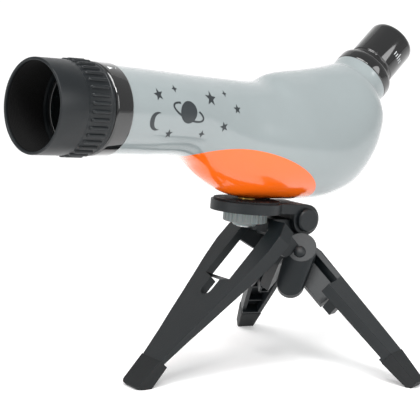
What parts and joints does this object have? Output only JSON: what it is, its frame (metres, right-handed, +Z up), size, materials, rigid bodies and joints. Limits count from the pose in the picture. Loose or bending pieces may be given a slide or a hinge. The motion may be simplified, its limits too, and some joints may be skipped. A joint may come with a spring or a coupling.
{
  "type": "telescope on tripod",
  "caption": "Small angled spotting telescope with a ribbed lens hood, a glossy front ring and an angled eyepiece, on a folding table tripod with a tilting head.",
  "frame": {"origin": "bottom centre of the bounding box, on the table", "axes": "+Z up; -Y along the tripod's front leg, so the eyepiece end is towards +Y; X across the tripod's plane of symmetry"},
  "size_m": [0.1822, 0.2893, 0.2017],
  "materials": {
    "hood_black": "satin",
    "ring_black": "gloss",
    "body_grey": "gloss",
    "belly_orange": "gloss",
    "inner_black": "matt",
    "optical_glass": "coated",
    "index_white": "matt",
    "steel": "satin",
    "bush_brass": "satin",
    "tripod_grey": "matt",
    "rubber_black": "matt",
    "wheel_grey": "frosted"
  },
  "bodies": {
    "tripod": {"front_leg": "tripod_grey", "front_foot": "rubber_black", "hip_pin_right": "steel", "hip_pin_left": "steel", "hip_washers": "steel"},
    "rear_leg_right": {"rear_leg_right": "tripod_grey", "rear_foot_right": "rubber_black"},
    "rear_leg_left": {"rear_leg_left": "tripod_grey", "rear_foot_left": "rubber_black"},
    "head": {"head_plate": "tripod_grey", "head_pad": "rubber_black", "tilt_pin": "tripod_grey", "tilt_pin_cap": "tripod_grey", "tilt_washers": "steel"},
    "thumb_screw": {"thumb_screw": "steel", "thumb_wheel": "wheel_grey"},
    "telescope": {"front_ring": "ring_black", "focus_index": "index_white", "body_shell_right": "body_grey", "body_shell_left": "body_grey", "belly_cover": "belly_orange", "belly_screws": "steel", "tripod_bush": "bush_brass", "prism": "optical_glass", "prism_bracket": "inner_black", "eyepiece_collar": "ring_black", "eyepiece_cup": "ring_black", "eyepiece_field_lens": "optical_glass", "eyepiece_lens_spacer": "inner_black", "eyepiece_eye_lens": "optical_glass", "eyepiece_retainer": "inner_black"},
    "focus_hood": {"lens_hood": "hood_black"},
    "objective": {"objective_barrel": "inner_black", "objective_front_lens": "optical_glass", "objective_rear_lens": "optical_glass", "objective_spacer": "inner_black", "objective_retainer": "inner_black"}
  },
  "joints": [
    {"name": "rear_leg_right_fold", "type": "hinge", "parent": "tripod", "child": "rear_leg_right", "pos_m": [0.012, 0.04158, 0.065], "axis": [-0.6809, 0.506, -0.5295], "range_deg": [0, 60]},
    {"name": "rear_leg_left_fold", "type": "hinge", "parent": "tripod", "child": "rear_leg_left", "pos_m": [-0.012, 0.04158, 0.065], "axis": [-0.6809, -0.506, 0.5295], "range_deg": [0, 60]},
    {"name": "head_tilt", "type": "hinge", "parent": "tripod", "child": "head", "pos_m": [0, 0.04558, 0.088], "axis": [-1, 0, 0], "range_deg": [-3, 40]},
    {"name": "telescope_pan", "type": "hinge", "parent": "head", "child": "telescope", "pos_m": [0, 0.01135, 0.10195], "axis": [0, 0.1045, 0.9945], "continuous": true},
    {"name": "thumb_screw_turn", "type": "hinge", "parent": "head", "child": "thumb_screw", "pos_m": [0, 0.01135, 0.10195], "axis": [0, 0.1045, 0.9945], "continuous": true},
    {"name": "focus_turn", "type": "hinge", "parent": "telescope", "child": "focus_hood", "pos_m": [0.02734, -0.13941, 0.16606], "axis": [-0.1719, 0.9797, -0.103], "range_deg": [-60, 60]},
    {"name": "objective_slide", "type": "slide", "parent": "telescope", "child": "objective", "axis": [-0.1719, 0.9797, -0.103], "range_m": [-0.0024, 0.0024]}
  ],
  "couplings": [
    {"joint": "focus_turn", "follows": "objective_slide", "rad_per_m": 436}
  ]
}
